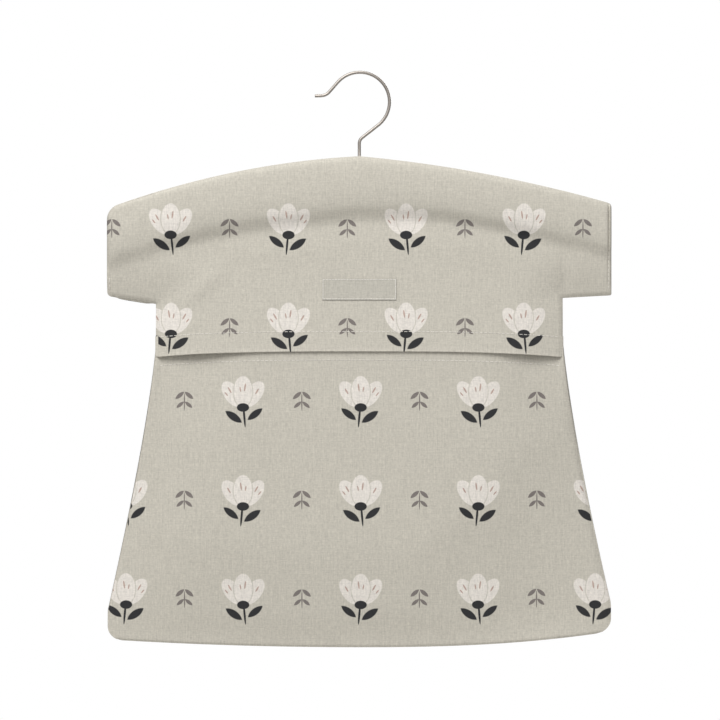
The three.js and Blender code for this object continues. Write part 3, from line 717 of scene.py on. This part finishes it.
# Label: a small bare tape of woven cotton, sewn on in the middle of the yoke. It is a
# little darker than the cloth round it, with the same uneven yarns.
LABEL_Z, LABEL_WIDE, LABEL_HIGH = -161.6, 27.8, 8
LABEL_RISE, LABEL_THICK = 0.55, 0.5
label_cloth = woven("label_cloth", "#bdb9ae", 0.9)
label = bmesh.new()
lay(label, spread(-LABEL_WIDE, LABEL_WIDE, 1.85), spread(LABEL_Z + LABEL_HIGH, LABEL_Z - LABEL_HIGH, 1),
    lambda x, z: (x, yoke_depth(x, z) - LABEL_RISE, z))
sew(label)
label_tape = panel(label, "label_tape", label_cloth, label_cloth, thick=LABEL_THICK)
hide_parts("label")
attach(label_tape, "yoke_flap")

# Thread: white top stitching along both hems, round the label and down the right cuff, and
# the seam inside that joins front and back. It lies in the cloth, drawn a little thick.
PLY, THREAD_SIDES = 0.6, 1
STITCH = ((-1, 0.3), (-0.6, 1), (0.6, 1), (1, 0.3))
HEM_PITCH, LABEL_PITCH, SEAM_PITCH = 3.3, 2.2, 5
PROUD_STITCH, PROUD_CUFF, PROUD_LABEL_END = 0.05, 0.1, 0.15
YOKE_ROW, POCKET_ROW, POCKET_ROW_RISE = (1.6, 147.5), (-148.5, 148.5), 0.9
LABEL_INSET, LABEL_ROW, LABEL_END_ROW = 0.7, 26.2, 6.2
CUFF_ROW_X, CUFF_ROW = CUFF - 2.4, (-160, -112)

# Runs of the seam inside: along the shoulder, down the cuff, under the sleeve, down the side
# and along the lower edge, each set in from the edge of the cloth.
TOP_RUN, CUFF_RUN, SLEEVE_RUN = (4, 180), (-160, -108), (BODY + 2, 180)
SIDE_RUN, LOW_RUN = (-412, -176), (2, 176)
SEAM_INSET, SEAM_IN, TOP_INSET, TOP_IN = 1.8, 1.6, 1.7, 0.5


def plied(name, colour):
    made, tree, shader = material(name, colour, 0.9, Sheen_Weight=0.2)
    place = add(tree, "TexCoord").outputs["Object"]
    plies = add(tree, "Mapping", {"Vector": place, "Scale": per_metre(PLY, PLY, PLY)}).outputs["Vector"]
    turns = add(tree, "TexNoise", {"Vector": plies, "Scale": 1.0, "Detail": 1.0}).outputs["Fac"]
    tone = {"Value": turns, "From Min": 0.3, "From Max": 0.7, "To Min": 0.88, "To Max": 1.06}
    tint(tree, shader, linear(colour)[:3], add(tree, "MapRange", tone).outputs["Result"])
    return made


# Polyester thread: off-white, light and dark by turns where its plies of 0.6 mm twist. The
# hems' thread is painted a shade darker than the label's, as painted shade where it sinks into the cloth.
thread = plied("thread", "#eeebe4")
hem_thread = plied("hem_thread", "#e7e3db")


def stitches(name, places, length=2.6, thick=0.5, finish=hem_thread):
    runs = []
    for here, ahead in places:
        way = (Vector(ahead) - Vector(here)).normalized() * length / 2
        runs.append([(Vector(here) + way * along, share) for along, share in STITCH])
    drawn = shown(name + "_run", strands(name, thick, THREAD_SIDES, runs))
    mesh = bpy.data.meshes.new_from_object(drawn)
    bpy.data.objects.remove(drawn)
    mesh.name = name
    mesh.materials.clear()
    mesh.materials.append(finish)
    row = shown(name, mesh)
    return row


def row_of(start, end, pitch, place):
    return [[place(a), place(a + 1)] for a in spread(start, end, pitch)]


def yoke_stitch(x):
    z = mouth_edge(x) + HEM_DEPTH
    return x, yoke_depth(x, z) - PROUD_STITCH, z


def pocket_stitch(x):
    z = lip_edge(x) - HEM_DEPTH + POCKET_ROW_RISE
    return x, pocket_depth(x, z) - PROUD_STITCH, z


def label_stitch(x, z, proud):
    return x, yoke_depth(x, z) - LABEL_RISE - proud, z


for name, way in (("yoke_hem_stitches_left", -1), ("yoke_hem_stitches_right", 1)):
    row = stitches(name, row_of(YOKE_ROW[0] * way, YOKE_ROW[1] * way, HEM_PITCH, yoke_stitch))
    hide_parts("yoke_hem_thread")
    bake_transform(row)
row = stitches("pocket_hem_stitches", row_of(*POCKET_ROW, HEM_PITCH, pocket_stitch))
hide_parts("pocket_hem_thread")
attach(row, "bag")
border = []
for way in (1, -1):
    z = LABEL_Z + (LABEL_HIGH - LABEL_INSET) * way
    border += row_of(-LABEL_ROW, LABEL_ROW, LABEL_PITCH, lambda x: label_stitch(x, z, PROUD_STITCH))
for way in (-1, 1):
    x = (LABEL_WIDE - LABEL_INSET) * way
    border += row_of(LABEL_Z - LABEL_END_ROW, LABEL_Z + LABEL_END_ROW, LABEL_PITCH,
                     lambda z: label_stitch(x, z, PROUD_LABEL_END))
row = stitches("label_stitches", border, length=2.2, thick=0.48, finish=thread)
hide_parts("label_thread")
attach(row, "yoke_flap")
cuff = row_of(*CUFF_ROW, HEM_PITCH,
              lambda z: (CUFF_ROW_X, yoke_depth(CUFF_ROW_X, z) - PROUD_CUFF, z))
row = stitches("cuff_stitches", cuff, thick=0.45)
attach(row, "bag")
seam = []
for way in (-1, 1):
    seam += row_of(*TOP_RUN, SEAM_PITCH,
                   lambda x: (x * way, seam_depth(x * way) + TOP_IN, top_edge(x * way) - TOP_INSET))
    seam += row_of(*CUFF_RUN, SEAM_PITCH, lambda z: ((CUFF - SEAM_INSET) * way, end_seam(way, z), z))
    seam += row_of(*SLEEVE_RUN, SEAM_PITCH,
                   lambda x: (x * way, SLEEVE_RIM + SEAM_IN, under_edge(x * way) + SEAM_INSET))
    seam += row_of(*SIDE_RUN, SEAM_PITCH,
                   lambda z: ((side_edge(z) - SEAM_INSET) * way, rim_depth(BODY * way, z) + SEAM_IN, z))
    seam += row_of(*LOW_RUN, SEAM_PITCH,
                   lambda x: (x * way, rim_depth(x, LOW) + SEAM_IN, low_edge(x * way) + SEAM_INSET))
row = stitches("seam_stitches", seam, length=4)
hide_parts("seam_thread")
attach(row, "bag")

# Studio: a pale floor under the hung bag, white surroundings, a large soft light from the
# upper left and the camera straight in front. Lengths are in metres here, lights in watts.
FLOOR_Z, FLOOR_RADIUS = -0.85, 0.7
WHITE, AMBIENT = linear("#ffffff"), 0.3
LIGHTS = (("key", (-0.7, -1.4, 1.6), 1.3, 55.5), ("fill", (0.9, -1.5, 0.1), 1.2, 4),
          ("rear", (0.5, 1.5, 0.7), 1.2, 22))
AIM = Vector((0, 0, -0.24))
SENSOR, FIELD = 36, 0.54
DISTANCE, CAMERA_X, CAMERA_Z = 2.5, 0.0005, -0.2145

# Painted board: a matt warm white that throws soft light up at the bag's lower half.
floor_look = material("floor", "#f2f1ee", 0.9)[0]
ground = bmesh.new()
bmesh.ops.create_circle(ground, cap_ends=True, segments=96, radius=FLOOR_RADIUS,
                        matrix=Matrix.Translation((0, 0, FLOOR_Z)))
mesh = bpy.data.meshes.new("floor")
ground.to_mesh(mesh)
ground.free()
mesh.materials.append(floor_look)
shown("floor", mesh)
world = bpy.data.worlds.new("studio")
world.use_nodes = True
tree = world.node_tree
lit = tree.nodes["Background"]
lit.inputs["Color"].default_value = WHITE
lit.inputs["Strength"].default_value = AMBIENT
seen = add(tree, "Background", {"Color": WHITE, "Strength": 1.0})
ray = add(tree, "LightPath")
both = add(tree, "MixShader", {0: ray.outputs["Is Camera Ray"], 1: lit.outputs[0], 2: seen.outputs[0]})
tree.links.new(both.outputs[0], tree.nodes["World Output"].inputs["Surface"])
bpy.context.scene.world = world
for name, spot, size, power in LIGHTS:
    lamp = bpy.data.lights.new(name, "AREA")
    lamp.size = size
    lamp.energy = power
    made = shown(name, lamp)
    made.location = spot
    made.rotation_euler = (AIM - Vector(spot)).to_track_quat("-Z", "Y").to_euler()
camera = bpy.data.cameras.new("camera")
camera.sensor_width = SENSOR
camera.lens = SENSOR * DISTANCE / FIELD
view = shown("camera", camera)
view.location = (CAMERA_X, -DISTANCE, CAMERA_Z)
view.rotation_euler = (pi / 2, 0, 0)
bpy.context.scene.camera = view
bpy.context.scene.view_settings.view_transform = "Standard"
